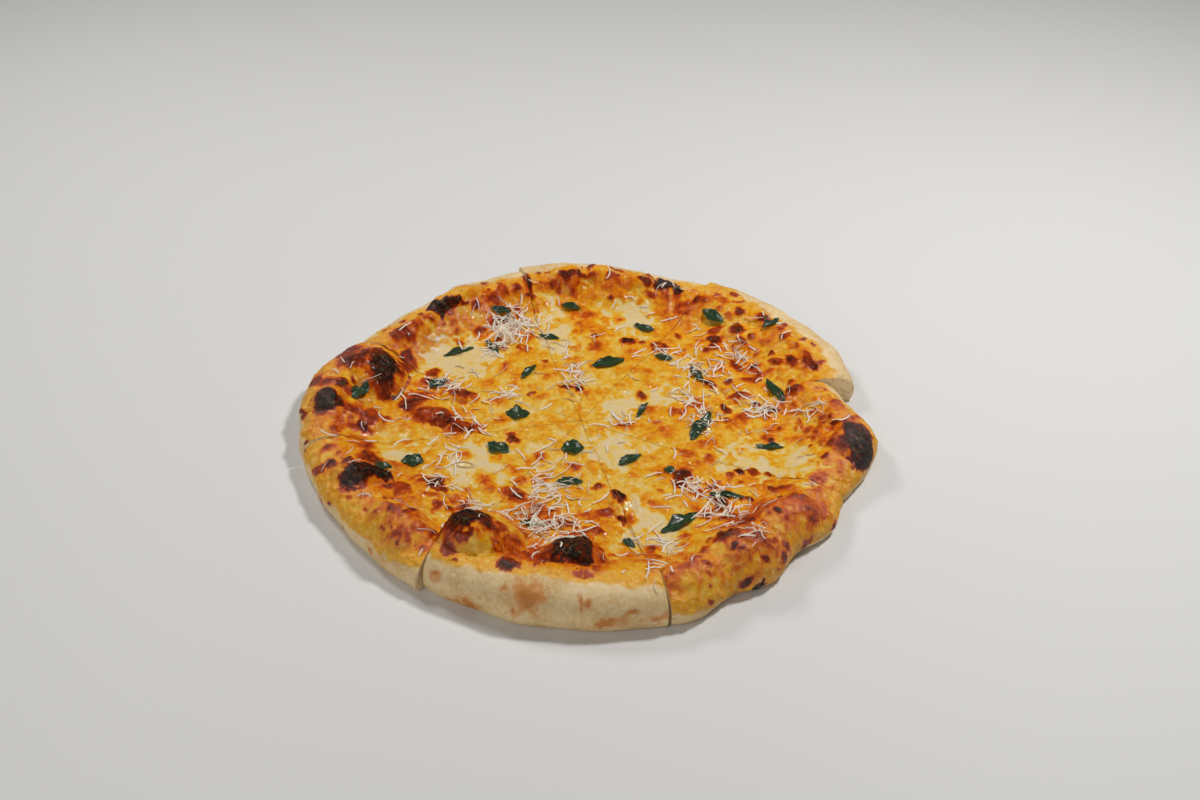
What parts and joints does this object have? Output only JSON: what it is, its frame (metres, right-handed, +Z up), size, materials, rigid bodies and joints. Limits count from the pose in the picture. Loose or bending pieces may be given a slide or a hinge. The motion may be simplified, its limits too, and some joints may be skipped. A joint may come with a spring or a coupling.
{
  "type": "margherita pizza",
  "caption": "Round margherita pizza with a raised, blistered crust, browned cheese and mozzarella pools, cut into wedges that still lie together.",
  "frame": {"origin": "under the middle of the round's box, on the face that it rests on", "axes": "+Z up out of the topping, +X and +Y along the box's sides"},
  "size_m": [0.3438, 0.3372, 0.0351],
  "materials": {
    "crust": "matt baked dough, pale on the side and browned where it stands up",
    "topping": "oily melted cheese over tomato sauce, mottled yellow, orange and toasted brown",
    "mozzarella": "smooth satin melted mozzarella",
    "basil": "soft dark green cut leaf",
    "parmesan": "matt grated hard cheese"
  },
  "bodies": {
    "root": {"crust_1": "crust", "crust_2": "crust", "crust_3": "crust", "crust_4": "crust", "crust_5": "crust", "crust_6": "crust", "crust_7": "crust", "crust_8": "crust", "topping_1": "topping", "topping_2": "topping", "topping_3": "topping", "topping_4": "topping", "topping_5": "topping", "topping_6": "topping", "topping_7": "topping", "topping_8": "topping", "mozzarella_1": "mozzarella", "mozzarella_2": "mozzarella", "mozzarella_3": "mozzarella", "mozzarella_4": "mozzarella", "mozzarella_5": "mozzarella", "mozzarella_6": "mozzarella", "mozzarella_7": "mozzarella", "mozzarella_8": "mozzarella", "mozzarella_9": "mozzarella", "mozzarella_10": "mozzarella"}
  },
  "joints": []
}
